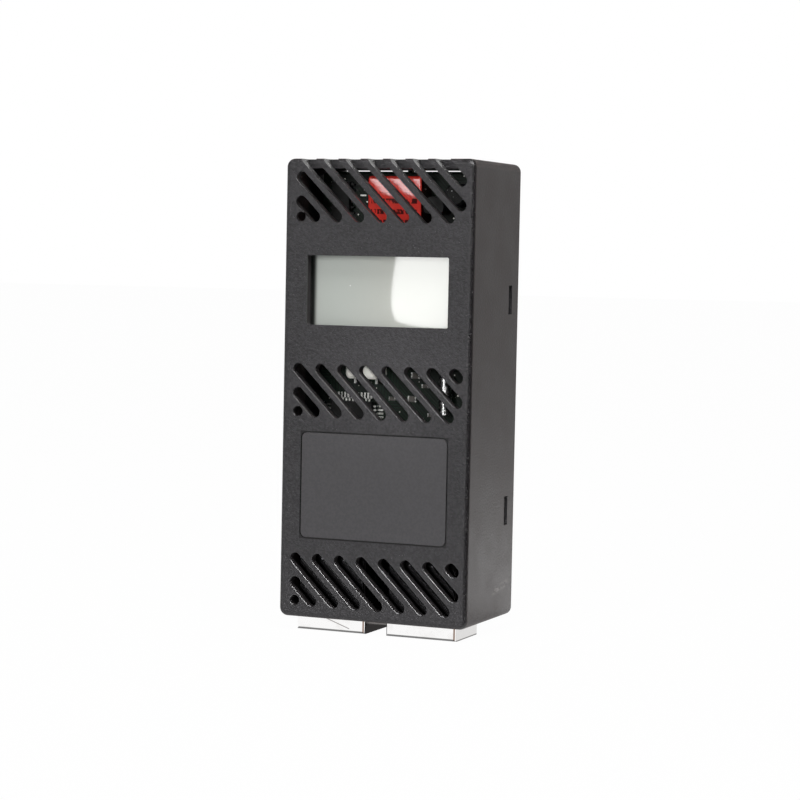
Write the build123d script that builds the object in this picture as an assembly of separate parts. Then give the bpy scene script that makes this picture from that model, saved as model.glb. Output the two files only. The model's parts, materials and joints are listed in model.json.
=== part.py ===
from build123d import *
import math
import os

# Lengths are in millimetres. X runs across the front, Y from front to back, Z up.
# The origin is at the middle of the footprint, level with the ends of the jacks.

# Housing
housing_width = 44.0
housing_height = 99.5
housing_depth = 27.5
corner_radius = 1.8
front_edge_radius = 1.25
front_wall = 2.0
draft_angle = 1.2
jack_drop = 3.0
fit_clearance = 0.2
overrun = 5.0

# Sides of the outlines that stand for what is round, small and repeated
round_sides = 16
small_round_sides = 8

# Slanted vent slots, measured from the housing's bottom and top faces
slot_width = 2.45
slot_angle = 45.0
slot_pitch = 5.2
slot_left_margin = 3.9
slot_right_margin = 3.0
dot_diameter = 2.2
bottom_band_rise = 3.7
middle_band_share = 0.4513
band_height = 9.2
top_band_drop = 12.5
top_band_height = 8.5
top_notch_reach = 4.8

# Display window and label recess
window_side_margin = 5.5
window_height = 15.0
window_drop = 28.3
window_radius = 0.4
label_side_margin = 4.85
label_height = 23.2
label_rise_share = 0.2915
label_radius = 1.4
label_recess = 0.35
label_thickness = 0.3
label_gap = 0.22

# Rear cover and its snaps
rim_wall = 0.9
cover_thickness = 2.0
cover_recess = 0.3
snap_front = 21.7
snap_depth = 2.0
snap_height = 6.3
snap_rise_shares = (0.2372, 0.7015)
snap_arm_thickness = 1.2
snap_hook_reach = 1.0
snap_hook_lip = 0.3
vent_notch_depth = 1.6
vent_notch_end = 1.1
tongue_thickness = 1.9
keyhole_spacing = 50.0
keyhole_entry = 7.0
keyhole_slot = 3.8
keyhole_travel = 5.5
keyhole_boss_height = 1.6
keyhole_boss_wall = 1.6

# Circuit board and its posts
board_thickness = 1.6
board_gap = 0.4
board_corner_radius = 1.0
board_edge_bevel = 0.45
break_off_width = 2.8
break_off_height = 0.3
break_off_across = 1.5
break_off_bite = 0.55
boss_diameter = 4.6
boss_inset = 5.8
boss_low_rise = 21.0
boss_display_gap = 0.6
screw_hole = 2.5
pilot_hole = 1.8
screw_length = 6.5
screw_head_diameter = 4.2
screw_head_height = 1.4

# Display stack
gasket_thickness = 1.2
gasket_border = 0.8
film_border = 1.7
film_height = 16.6
film_thickness = 0.2
glass_border = 2.3
glass_height = 18.4
glass_thickness = 1.1
rear_glass_height = 15.6
reflector_thickness = 0.3
display_pin_pitch = 2.54
display_pin_count = 11
display_pin_width = 0.5
display_pin_sheet = 0.25
display_pin_grip = 0.7
display_pin_tail = 1.0

# Shielded jacks
jack_width = 16.3
jack_wall_gap = 1.25
jack_depth = 12.4
jack_length = 18.0
jack_front = 2.7
jack_clearance = 0.3
shield_sheet = 0.3
shield_bend_radius = 0.7
shield_port_margin = 1.1
shield_tab_width = 1.3
shield_tab_reach = 2.8
shield_tab_rise = 9.0
body_gap = 0.1
port_width = 11.9
port_height = 6.9
port_front = 2.1
port_depth = 13.0
latch_width = 6.3
latch_height = 1.3
catch_width = 3.9
catch_height = 0.9
contact_count = 8
contact_pitch = 1.02
contact_width = 0.45
contact_thickness = 0.3
contact_run = 1.55
contact_pocket_margin = 0.5
contact_tail = 1.2
contact_row_step = 1.6
contact_row_rise = 13.3
contact_nose_rise = 3.2
contact_tip_rise = 9.2
contact_tip_reach = 2.6
peg_diameter = 3.0
peg_length = 1.4
peg_spacing = 11.4
peg_rise = 7.5

# Box capacitor
box_capacitor_width = 13.0
box_capacitor_height = 12.0
box_capacitor_depth = 5.2
box_capacitor_radius = 0.7
box_capacitor_across_share = -0.023
box_capacitor_drop = 9.3
box_capacitor_pitch = 10.0
wire_diameter = 0.7
wire_stub = 1.0
wire_bend = 0.4
wire_tail = 1.2

# Humidity sensor
humidity_width = 7.8
humidity_height = 7.2
humidity_depth = 5.0
humidity_radius = 1.1
humidity_across_share = -0.35
humidity_drop = 44.0
humidity_pin_pitch = 2.54
humidity_pin_count = 3
humidity_port = 2.4
humidity_port_depth = 0.8

# Square microcontroller with leads on four sides
controller_side = 10.0
controller_thickness = 2.0
controller_across_share = -0.5136
controller_drop = 57.75
controller_lead_count = 11
controller_lead_pitch = 0.8
lead_width = 0.36
lead_sheet = 0.16
lead_reach = 1.25
lead_foot = 0.6
chip_standoff = 0.12
chip_edge_slope = 0.3

# Sensor amplifier chip with leads on two sides
amplifier_width = 4.4
amplifier_height = 8.8
amplifier_thickness = 1.7
amplifier_across_share = -0.6773
amplifier_drop = 8.8
amplifier_lead_count = 7
amplifier_lead_pitch = 1.27

# Crystal can, electrolytic capacitor and temperature sensor
crystal_diameter = 3.0
crystal_length = 8.3
crystal_across_share = 0.4955
crystal_drop = 50.7
crystal_rim = 0.35
can_diameter = 5.0
can_height = 6.0
can_across_share = 0.6318
can_drop = 7.3
can_edge = 0.5
probe_diameter = 4.6
probe_flat = 1.0
probe_height = 4.8
probe_standoff = 2.4
probe_across_share = 0.43
probe_drop = 10.0
probe_pin_pitch = 1.27

# Small chip parts: shares of the housing's half width across, and of the crystal's length above it
chip_capacitor_length = 2.0
chip_capacitor_height = 1.25
chip_capacitor_thickness = 0.9
chip_capacitor_shares = {
    "chip_capacitor_a": (0.123, -0.13),
    "chip_capacitor_b": (0.155, 0.49),
}
chip_resistor_length = 1.6
chip_resistor_height = 0.8
chip_resistor_thickness = 0.5
chip_resistor_shares = {
    "chip_resistor_a": (-0.1, -0.145),
    "chip_resistor_b": (0.255, 0.22),
    "chip_resistor_c": (0.323, -0.54),
}

# Places worked out from the sizes above
front = -housing_depth / 2
back = housing_depth / 2
bottom = jack_drop
top = jack_drop + housing_height
side = housing_width / 2
cover_back = back - cover_recess
cover_front = cover_back - cover_thickness
jack_face = front + jack_front
board_front = jack_face + jack_depth
board_back = board_front + board_thickness
jack_centre = side - front_wall - jack_wall_gap - jack_width / 2
window_z = top - window_drop
window_width = housing_width - 2 * window_side_margin
film_width = window_width + 2 * film_border
glass_width = window_width + 2 * glass_border
glass_face = front + front_wall + gasket_thickness + film_thickness
label_width = housing_width - 2 * label_side_margin
label_z = bottom + label_rise_share * housing_height
middle_band_rise = middle_band_share * housing_height
boss_x = side - boss_inset
boss_heights = (bottom + boss_low_rise, window_z + (glass_height + boss_diameter) / 2 + boss_display_gap)
snap_heights = [bottom + share * housing_height for share in snap_rise_shares]
box_capacitor_place = (box_capacitor_across_share * side, top - box_capacitor_drop)
humidity_place = (humidity_across_share * side, top - humidity_drop)
controller_place = (controller_across_share * side, top - controller_drop)
amplifier_place = (amplifier_across_share * side, top - amplifier_drop)
crystal_place = (crystal_across_share * side, top - crystal_drop)
can_place = (can_across_share * side, top - can_drop)
probe_place = (probe_across_share * side, top - probe_drop)


def wall_at(depth):
    """Thickness of the drafted side, top and bottom walls at a depth behind the front face."""
    return front_wall - (depth - front_wall) * math.tan(math.radians(draft_angle))


def facing(y):
    """Plane across the part at y, drawn as it is seen from the front."""
    return Plane(origin=(0, y, 0), x_dir=(1, 0, 0), z_dir=(0, -1, 0))


def push_back(sketch, y, depth):
    """Solid made by pushing a front-view outline from y towards the back."""
    return extrude(facing(y) * sketch, amount=-depth)


def block(x_range, y_range, z_range):
    """Rectangular block between three pairs of limits."""
    size = [high - low for low, high in (x_range, y_range, z_range)]
    middle = [(high + low) / 2 for low, high in (x_range, y_range, z_range)]
    return Pos(*middle) * Box(*size)


def round_outline(diameter):
    """Circle drawn with flats, for slot ends, small holes and small bars."""
    return RegularPolygon(diameter / 2, round_sides)


def disc(x, z, diameter, y, depth):
    """Round bar of the given diameter, lying from y towards the back."""
    return push_back(Pos(x, z) * round_outline(diameter), y, depth)


def rounded_outline(width, height, radius, z):
    """Rounded rectangle centred across the part at height z, in the front view."""
    return Pos(0, z) * RectangleRounded(width, height, radius)


def slot_lines(low, rise, closed):
    """Ends of the slanted slots of one band, upper end first."""
    left = -side + slot_left_margin
    right = side - slot_right_margin
    slope = math.tan(math.radians(slot_angle))
    high = low + rise
    runs_right = int((right - left) / slot_pitch)
    runs_left = int(rise / (slot_pitch * slope))
    lines = []
    for step in range(-runs_left, runs_right + 1):
        start_x = left + step * slot_pitch
        start_z = high
        if start_x < left:
            start_z = high - (left - start_x) * slope
            start_x = left
        elif step > 0 and not closed:
            start_x = start_x - (top + overrun - high) / slope
            start_z = top + overrun
        end_x = min(right, start_x + (start_z - low) / slope)
        lines.append(((start_x, start_z), (end_x, start_z - (end_x - start_x) * slope)))
    return lines


def slot_shape(start, end):
    """Round-ended slot outline between two end centres."""
    centre = ((start[0] + end[0]) / 2, (start[1] + end[1]) / 2)
    length = math.dist(start, end)
    outline = Rectangle(length, slot_width)
    for sign in (-1, 1):
        outline += Pos(sign * length / 2, 0) * round_outline(slot_width)
    return Pos(*centre) * Rot(0, 0, -slot_angle) * outline


def front_cut(outline):
    """Cutter for a hole through the front wall."""
    return push_back(outline, front - overrun, overrun + front_wall + fit_clearance)


def band_cuts(low, rise, closed=True):
    """All the cutters of one band of slots, with the round hole at its lower left."""
    cuts = [front_cut(slot_shape(start, end)) for start, end in slot_lines(low, rise, closed)]
    cuts.append(front_cut(Pos(-side + slot_left_margin, low) * round_outline(dot_diameter)))
    return cuts


def top_notches():
    """Cuts that carry the open slots of the top band back over the top wall, behind the front wall."""
    slope = math.tan(math.radians(slot_angle))
    opening = slot_width / math.sin(math.radians(slot_angle))
    notches = []
    for start, _ in slot_lines(top - top_band_drop, top_band_height, False):
        if start[1] > top:
            middle = start[0] + (start[1] - top) / slope
            x_range = (middle - opening / 2, middle + opening / 2)
            z_range = (top - front_wall - fit_clearance, top + overrun)
            notches.append(block(x_range, (front + front_wall, front + top_notch_reach), z_range))
    return notches


def jack_cuts():
    """Slots in the bottom wall, open towards the back, that the two jacks slide into."""
    half = jack_width / 2 + jack_clearance
    cuts = []
    for x in (-jack_centre, jack_centre):
        y_range = (jack_face - jack_clearance, back + overrun)
        z_range = (bottom - overrun, bottom + front_wall + fit_clearance)
        cuts.append(block((x - half, x + half), y_range, z_range))
    return cuts


def front_housing():
    """Moulded shell: front, sides, top and bottom in one, open at the back."""
    middle = (bottom + top) / 2
    outline = rounded_outline(housing_width, housing_height, corner_radius, middle)
    shell = push_back(outline, front, housing_depth)
    shell = fillet(shell.faces().sort_by(Axis.Y)[0].edges(), front_edge_radius)
    near = 2 * wall_at(front_wall)
    far = 2 * wall_at(cover_front - front)
    inner_radius = corner_radius - front_edge_radius + rim_wall
    near_outline = rounded_outline(housing_width - near, housing_height - near, inner_radius, middle)
    far_outline = rounded_outline(housing_width - far, housing_height - far, inner_radius, middle)
    shell -= loft([facing(front + front_wall) * near_outline, facing(cover_front) * far_outline])
    rim_width = housing_width - 2 * rim_wall
    rim_height = housing_height - 2 * rim_wall
    rim_outline = rounded_outline(rim_width, rim_height, corner_radius - rim_wall, middle)
    shell -= push_back(rim_outline, cover_front, back - cover_front + overrun)
    label_outline = rounded_outline(label_width, label_height, label_radius, label_z)
    shell -= push_back(label_outline, front, label_recess)
    shell -= front_cut(rounded_outline(window_width, window_height, window_radius, window_z))
    cuts = band_cuts(bottom + bottom_band_rise, band_height)
    cuts += band_cuts(bottom + middle_band_rise, band_height)
    cuts += band_cuts(top - top_band_drop, top_band_height, closed=False)
    cuts += top_notches() + jack_cuts()
    snap_y = (front + snap_front, front + snap_front + snap_depth)
    for z in snap_heights:
        z_range = (z - snap_height / 2, z + snap_height / 2)
        cuts.append(block((-side - overrun, side + overrun), snap_y, z_range))
    shell -= cuts
    post_front = front + front_wall - fit_clearance
    for x in (-boss_x, boss_x):
        for z in boss_heights:
            shell += disc(x, z, boss_diameter, post_front, board_front - post_front)
            shell -= disc(x, z, pilot_hole, board_front - screw_length, screw_length + overrun)
    return shell


def keyhole_cut(z):
    """Keyhole through the cover: a round entry with a narrower slot above it."""
    entry = Pos(0, z) * Circle(keyhole_entry / 2)
    slot = Pos(0, z + keyhole_travel / 2) * Rectangle(keyhole_slot, keyhole_travel)
    end = Pos(0, z + keyhole_travel) * Circle(keyhole_slot / 2)
    outline = entry + slot + end
    start = cover_front - keyhole_boss_height - overrun
    return push_back(outline, start, cover_back + overrun - start)


def snap_arm(sign, z):
    """Arm that reaches forward from the cover, with a hook for the window in the side wall."""
    outer = side - wall_at(cover_front - front) - 2 * fit_clearance
    inner = outer - snap_arm_thickness
    window_front = front + snap_front
    catch = window_front + snap_depth - fit_clearance
    nose = window_front - snap_arm_thickness
    lip = window_front + snap_hook_lip
    tip = side - wall_at(snap_front) + snap_hook_reach
    root = cover_front + fit_clearance
    outline = [(inner, root), (inner, nose), (outer - snap_hook_lip, nose), (outer, lip)]
    outline += [(tip, catch - snap_hook_lip), (tip, catch), (outer, catch), (outer, root)]
    outline = [(sign * x, y) for x, y in outline]
    half = snap_height / 2 - fit_clearance
    arm = extrude(Plane.XY.offset(z - half) * make_face(Polyline(*outline, close=True)), amount=2 * half)
    return arm


def rear_cover():
    """Flat back with snap arms, tongues behind the jacks, a vent along the top and keyholes."""
    middle = (bottom + top) / 2
    width = housing_width - 2 * rim_wall - 2 * fit_clearance
    height = housing_height - 2 * rim_wall - 2 * fit_clearance
    outline = rounded_outline(width, height, corner_radius - rim_wall, middle)
    cover = push_back(outline, cover_front, cover_thickness)
    notch_half = width / 2 - vent_notch_end
    notch_z = (middle + height / 2 - vent_notch_depth, top + overrun)
    cover -= block((-notch_half, notch_half), (cover_front - overrun, back + overrun), notch_z)
    for sign in (-1, 1):
        tongue_half = jack_width / 2 + jack_clearance - fit_clearance
        tongue_x = (sign * jack_centre - tongue_half, sign * jack_centre + tongue_half)
        tongue_y = (board_front + jack_clearance, cover_back)
        cover += block(tongue_x, tongue_y, (bottom, bottom + tongue_thickness))
        for z in snap_heights:
            cover += snap_arm(sign, z)
    for z in (middle - keyhole_spacing / 2, middle + keyhole_spacing / 2):
        boss_width = keyhole_entry + 2 * keyhole_boss_wall
        boss_outline = SlotOverall(boss_width + keyhole_travel, boss_width, rotation=90)
        boss_outline = Pos(0, z + keyhole_travel / 2) * boss_outline
        cover += push_back(boss_outline, cover_front - keyhole_boss_height, keyhole_boss_height)
        cover -= keyhole_cut(z)
    return cover


def label_panel():
    """Thin blank overlay that sits in the recess, with a narrow groove all round."""
    width = label_width - 2 * label_gap
    height = label_height - 2 * label_gap
    outline = rounded_outline(width, height, label_radius - label_gap, label_z)
    return push_back(outline, front + label_recess - label_thickness, label_thickness)


def display_gasket():
    """Foam frame between the window and the display."""
    outer = Rectangle(film_width, film_height)
    inner = Rectangle(window_width + gasket_border / 2, window_height + gasket_border / 2)
    return push_back(Pos(0, window_z) * (outer - inner), front + front_wall, gasket_thickness)


def display_layers():
    """Films and glass plates of the display, front to back."""
    plates = {}
    y = glass_face - film_thickness
    stack = (
        ("display_front_film", film_width, film_height, film_thickness),
        ("display_front_glass", glass_width, glass_height, glass_thickness),
        ("display_rear_glass", glass_width, rear_glass_height, glass_thickness),
        ("display_reflector", film_width, rear_glass_height - 2 * film_thickness, reflector_thickness),
    )
    for name, width, height, thickness in stack:
        plates[name] = push_back(Pos(0, window_z) * Rectangle(width, height), y, thickness)
        y += thickness
    return plates


def display_pin_places():
    """Across positions of the clip pins along each long edge of the display."""
    first = -(display_pin_count - 1) * display_pin_pitch / 2
    return [first + number * display_pin_pitch for number in range(display_pin_count)]


def display_pins(sign):
    """Row of clip pins along one edge: each grips the front glass and runs back through the board."""
    edge = glass_height / 2
    sheet = display_pin_sheet
    grip = edge - display_pin_grip
    glass_back = glass_face + glass_thickness
    tail = board_back + display_pin_tail
    profile = [(glass_face, grip), (glass_face - sheet, grip), (glass_face - sheet, edge + sheet)]
    profile += [(tail, edge + sheet), (tail, edge), (glass_back + sheet, edge), (glass_back + sheet, grip)]
    profile += [(glass_back, grip), (glass_back, edge), (glass_face, edge)]
    profile = [(y, window_z + sign * z) for y, z in profile]
    face = make_face(Polyline(*profile, close=True))
    pins = []
    for x in display_pin_places():
        plane = Plane(origin=(x - display_pin_width / 2, 0, 0), x_dir=(0, 1, 0), z_dir=(1, 0, 0))
        pins.append(extrude(plane * face, amount=display_pin_width))
    return Compound(children=pins)


def contact_places():
    """Across positions of a jack's contacts, and whether each is in the upper row of holes."""
    first = -(contact_count - 1) * contact_pitch / 2
    return [(first + number * contact_pitch, number % 2) for number in range(contact_count)]


def capacitor_wire_places():
    """Across positions of the box capacitor's two wires."""
    return [box_capacitor_place[0] + sign * box_capacitor_pitch / 2 for sign in (-1, 1)]


def humidity_pin_places():
    """Across positions of the humidity sensor's pins."""
    first = humidity_place[0] - (humidity_pin_count - 1) * humidity_pin_pitch / 2
    return [first + number * humidity_pin_pitch for number in range(humidity_pin_count)]


def round_holes():
    """Centre and diameter of every round hole in the board: screws, pegs and wires."""
    holes = [(x, z, screw_hole) for x in (-boss_x, boss_x) for z in boss_heights]
    for centre in (-jack_centre, jack_centre):
        for sign in (-1, 1):
            holes.append((centre + sign * peg_spacing / 2, peg_rise, peg_diameter + fit_clearance))
    wire_z = box_capacitor_place[1] - box_capacitor_height / 2 - wire_stub
    holes += [(x, wire_z, wire_diameter + fit_clearance) for x in capacitor_wire_places()]
    return holes


def flat_pin_holes():
    """Centre, width and height of every hole for a flat pin or tab."""
    holes = []
    for sign in (-1, 1):
        row = window_z + sign * (glass_height + display_pin_sheet) / 2
        holes += [(x, row, display_pin_width, display_pin_sheet) for x in display_pin_places()]
        centre = sign * jack_centre
        for x, upper in contact_places():
            row = contact_row_rise - upper * contact_row_step
            holes.append((centre + x, row, contact_width, contact_thickness))
        for side_sign in (-1, 1):
            tab_x = centre + side_sign * (jack_width - shield_sheet) / 2
            holes.append((tab_x, shield_tab_rise, shield_sheet, shield_tab_width))
    row = humidity_place[1] - humidity_height / 2 - wire_stub
    holes += [(x, row, display_pin_width, display_pin_sheet) for x in humidity_pin_places()]
    return holes


def circuit_board():
    """Board with its mounting, pin and peg holes; its top edge keeps the bevel and stub of the panel."""
    wall = wall_at(board_front - front)
    width = housing_width - 2 * wall - 2 * board_gap
    height = housing_height - 2 * wall - 2 * board_gap
    board_top = (bottom + top + height) / 2
    outline = rounded_outline(width, height, board_corner_radius, (bottom + top) / 2)
    stub = Rectangle(break_off_width, 2 * break_off_height)
    bite = Pos(0, break_off_height) * Rectangle(break_off_bite, 2 * break_off_height)
    outline += Pos(break_off_across, board_top) * stub
    outline -= Pos(break_off_across, board_top) * (bite + Circle(break_off_bite / 2))
    for x, z, diameter in round_holes():
        outline -= Pos(x, z) * round_outline(diameter)
    for x, z, pin_width, pin_height in flat_pin_holes():
        outline -= Pos(x, z) * Rectangle(pin_width + fit_clearance, pin_height + fit_clearance)
    board = push_back(outline, board_front, board_thickness)
    past_top = board_top + overrun
    bevel = [(board_front - overrun, board_top - board_edge_bevel - overrun)]
    bevel += [(board_front + board_edge_bevel + overrun, past_top), (board_front - overrun, past_top)]
    plane = Plane(origin=(-side, 0, 0), x_dir=(0, 1, 0), z_dir=(1, 0, 0))
    return board - extrude(plane * make_face(Polyline(*bevel, close=True)), amount=housing_width)


def board_screws():
    """Four pan-headed screws through the board into the posts."""
    screws = []
    for x in (-boss_x, boss_x):
        for z in boss_heights:
            shank = disc(x, z, pilot_hole, board_back - screw_length, screw_length)
            head = disc(x, z, screw_head_diameter, board_back, screw_head_height)
            head = chamfer(head.edges().group_by(Axis.Y)[-1], screw_head_height / 2)
            screws.append(shank + head)
    return Compound(children=screws)


def jack_shield(centre):
    """Folded metal can round a jack: front, two sides, top and nose, open towards the board."""
    half = jack_width / 2
    outer = block((centre - half, centre + half), (jack_face, board_front), (0, jack_length))
    front_edges = outer.edges().filter_by(Axis.Z).group_by(Axis.Y)[0]
    nose_edges = outer.faces().sort_by(Axis.Y)[0].edges().filter_by(Axis.X).group_by(Axis.Z)[0]
    outer = fillet(front_edges + nose_edges, shield_bend_radius)
    inner_x = (centre - half + shield_sheet, centre + half - shield_sheet)
    inner_z = (shield_sheet, jack_length - shield_sheet)
    inner = block(inner_x, (jack_face + shield_sheet, board_front + overrun), inner_z)
    inner = fillet(inner.edges().filter_by(Axis.Z).group_by(Axis.Y)[0], shield_bend_radius - shield_sheet)
    port_half = port_width / 2 + shield_port_margin
    port_y = (jack_face + shield_port_margin, board_front - shield_port_margin)
    port = block((centre - port_half, centre + port_half), port_y, (-overrun, overrun))
    shield = outer - inner - port
    for sign in (-1, 1):
        edge = centre + sign * half
        tab_x = sorted((edge, edge - sign * shield_sheet))
        tab_z = (shield_tab_rise - shield_tab_width / 2, shield_tab_rise + shield_tab_width / 2)
        shield += block(tab_x, (board_front - shield_sheet, board_front + shield_tab_reach), tab_z)
    return shield


def jack_body(centre):
    """Moulded insert of a jack: plug cavity, latch channel, contact pocket and two pegs."""
    half = jack_width / 2 - shield_sheet - body_gap
    y_range = (jack_face + shield_sheet + body_gap, board_front)
    z_range = (shield_sheet, jack_length - shield_sheet - body_gap)
    body = block((centre - half, centre + half), y_range, z_range)
    body = fillet(body.edges().filter_by(Axis.Z).group_by(Axis.Y)[0], shield_bend_radius - shield_sheet)
    port_y = jack_face + port_front
    port_z = (-overrun, port_depth)
    steps = (
        (port_width, port_y, port_y + port_height),
        (latch_width, port_y + port_height - fit_clearance, port_y + port_height + latch_height),
        (catch_width, port_y + port_height, port_y + port_height + latch_height + catch_height),
    )
    for width, low, high in steps:
        body -= block((centre - width / 2, centre + width / 2), (low, high), port_z)
    pocket_half = contact_count * contact_pitch / 2 + fit_clearance
    pocket_x = (centre - pocket_half, centre + pocket_half)
    run = jack_face + contact_run
    row_low = contact_row_rise - contact_row_step
    margin = contact_pocket_margin
    channel_top = contact_row_rise + 2 * margin
    body -= block(pocket_x, (run - margin, port_y + fit_clearance), (shield_sheet + margin, channel_top))
    body -= block(pocket_x, (run - margin, board_front + overrun), (row_low - margin, channel_top))
    for sign in (-1, 1):
        body += disc(centre + sign * peg_spacing / 2, peg_rise, peg_diameter, board_front, peg_length)
    return body


def jack_contacts(centre):
    """Eight spring contacts: from the board forward, down the jack's front and back into its cavity."""
    run = jack_face + contact_run
    tail = board_back + contact_tail
    springs = []
    for x, upper in contact_places():
        row = contact_row_rise - upper * contact_row_step
        nose = contact_nose_rise
        path = [(tail, row), (run, row), (run, nose), (run + contact_tip_reach, contact_tip_rise)]
        joint = RegularPolygon(contact_thickness / 2, small_round_sides)
        face = Pos(*path[1]) * joint + Pos(*path[2]) * joint
        for start, end in zip(path, path[1:]):
            face += trace(Line(start, end), contact_thickness)
        plane = Plane(origin=(centre + x - contact_width / 2, 0, 0), x_dir=(0, 1, 0), z_dir=(1, 0, 0))
        springs.append(extrude(plane * face, amount=contact_width))
    return Compound(children=springs)


def bent_wire(x, z_start, y_start):
    """Round wire that leaves a part downwards and bends back through the board."""
    low = z_start - wire_stub
    path = Polyline(
        (x, y_start, z_start),
        (x, y_start, low + wire_bend),
        (x, y_start + wire_bend, low),
        (x, board_back + wire_tail, low),
    )
    profile = Plane(origin=(x, y_start, z_start), z_dir=(0, 0, -1))
    profile *= RegularPolygon(wire_diameter / 2, small_round_sides)
    return sweep(profile, path=path, transition=Transition.RIGHT)


def box_capacitor():
    """Moulded box capacitor lying flat on the board."""
    outline = Pos(*box_capacitor_place) * Rectangle(box_capacitor_width, box_capacitor_height)
    body = push_back(outline, board_front - box_capacitor_depth, box_capacitor_depth)
    soft = body.faces().sort_by(Axis.Y)[0].edges() + body.edges().filter_by(Axis.Y)
    return fillet(soft, box_capacitor_radius)


def box_capacitor_wires():
    """The capacitor's two wires."""
    z = box_capacitor_place[1] - box_capacitor_height / 2
    y = board_front - box_capacitor_depth / 2
    return Compound(children=[bent_wire(x, z, y) for x in capacitor_wire_places()])


def humidity_sensor():
    """White moulded sensor with a small round port in its face."""
    outline = Pos(*humidity_place) * RectangleRounded(humidity_width, humidity_height, humidity_radius)
    body = push_back(outline, board_front - humidity_depth, humidity_depth)
    body = chamfer(body.faces().sort_by(Axis.Y)[0].edges(), humidity_radius / 2)
    return body - disc(*humidity_place, humidity_port, board_front - humidity_depth, humidity_port_depth)


def humidity_pins():
    """The humidity sensor's three flat pins, bent back through the board."""
    high = humidity_place[1] - humidity_height / 2
    low = high - wire_stub - display_pin_sheet / 2
    y = board_front - humidity_depth / 2
    tail = board_back + wire_tail
    pins = []
    for x in humidity_pin_places():
        x_range = (x - display_pin_width / 2, x + display_pin_width / 2)
        drop = block(x_range, (y, y + display_pin_sheet), (low, high))
        pins.append(drop + block(x_range, (y, tail), (low, low + display_pin_sheet)))
    return Compound(children=pins)


def chip_body(x, z, width, height, thickness):
    """Moulded chip, its four sides sloping away from the mould line at half its thickness."""
    middle = board_front - chip_standoff - thickness / 2
    wide = Pos(x, z) * Rectangle(width, height)
    narrow = Pos(x, z) * Rectangle(width - chip_edge_slope, height - chip_edge_slope)
    upper = loft([facing(middle) * wide, facing(middle - thickness / 2) * narrow])
    lower = loft([facing(middle) * wide, facing(middle + thickness / 2) * narrow])
    return upper + lower


def gull_lead(thickness):
    """Side view of one gull-wing lead, starting at the chip's side: out, down and along the board."""
    middle = -chip_standoff - thickness / 2
    half = lead_sheet / 2
    bend = lead_reach - lead_foot
    outline = [(0, middle - half), (bend, middle - half), (bend + half, -lead_sheet)]
    outline += [(lead_reach, -lead_sheet), (lead_reach, 0), (bend - half, 0)]
    outline += [(bend - lead_sheet, middle + half), (0, middle + half)]
    return make_face(Polyline(*outline, close=True))


def chip_leads(x, z, reach_x, reach_z, thickness, count, pitch, directions):
    """Rows of leads round a chip, one row for each direction that is given in degrees."""
    profile = gull_lead(thickness)
    leads = []
    for direction in directions:
        turn = math.radians(direction)
        out = Vector(math.cos(turn), 0, math.sin(turn))
        along = Vector(-math.sin(turn), 0, math.cos(turn))
        reach = reach_x if abs(out.X) > abs(out.Z) else reach_z
        for number in range(count):
            offset = (number - (count - 1) / 2) * pitch - lead_width / 2
            start = Vector(x, board_front, z) + out * reach + along * offset
            plane = Plane(origin=start, x_dir=out, z_dir=along)
            flip = 1 if plane.y_dir.Y > 0 else -1
            face = profile if flip > 0 else mirror(profile, about=Plane.XZ)
            leads.append(extrude(plane * face, amount=lead_width))
    return Compound(children=leads)


def controller():
    """Square microcontroller body and its leads."""
    body = chip_body(*controller_place, controller_side, controller_side, controller_thickness)
    half = controller_side / 2
    leads = chip_leads(
        *controller_place, half, half, controller_thickness,
        controller_lead_count, controller_lead_pitch, (0, 90, 180, 270),
    )
    return body, leads


def amplifier():
    """Sensor amplifier body and its leads."""
    body = chip_body(*amplifier_place, amplifier_width, amplifier_height, amplifier_thickness)
    leads = chip_leads(
        *amplifier_place, amplifier_width / 2, amplifier_height / 2, amplifier_thickness,
        amplifier_lead_count, amplifier_lead_pitch, (0, 180),
    )
    return body, leads


def crystal_can():
    """Small round metal can lying upright against the board, with a rim at its lower end."""
    y = board_front - crystal_diameter / 2 - crystal_rim / 2
    low = Pos(crystal_place[0], y, crystal_place[1] - crystal_length / 2)
    can = extrude(low * Circle(crystal_diameter / 2), amount=crystal_length)
    can = chamfer(can.edges().group_by(Axis.Z)[-1], crystal_rim)
    return can + extrude(low * Circle((crystal_diameter + crystal_rim) / 2), amount=crystal_rim)


def electrolytic_capacitor():
    """Round can standing on the board, its top edge rolled in."""
    can = push_back(Pos(*can_place) * Circle(can_diameter / 2), board_front - can_height, can_height)
    return chamfer(can.edges().group_by(Axis.Y)[0], can_edge)


def temperature_probe():
    """Half-round sensor body standing on three leads."""
    outline = Circle(probe_diameter / 2)
    outline -= Pos(0, -probe_diameter + probe_flat) * Rectangle(probe_diameter, probe_diameter)
    y = board_front - probe_standoff - probe_height
    return push_back(Pos(*probe_place) * outline, y, probe_height)


def temperature_probe_leads():
    """The probe's three flat leads, soldered to the face of the board."""
    middle, z = probe_place
    half = display_pin_width / 2
    y_range = (board_front - probe_standoff, board_front)
    leads = []
    for x in (middle - probe_pin_pitch, middle, middle + probe_pin_pitch):
        leads.append(block((x - half, x + half), y_range, (z - half, z + half)))
    return Compound(children=leads)


def chip_parts(places, length, height, thickness):
    """Small ceramic blocks soldered flat on the board, by name."""
    blocks = {}
    for name, (across, up) in places.items():
        x = across * side
        z = crystal_place[1] + up * crystal_length
        x_range = (x - length / 2, x + length / 2)
        z_range = (z - height / 2, z + height / 2)
        blocks[name] = block(x_range, (board_front - thickness, board_front), z_range)
    return blocks


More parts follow.
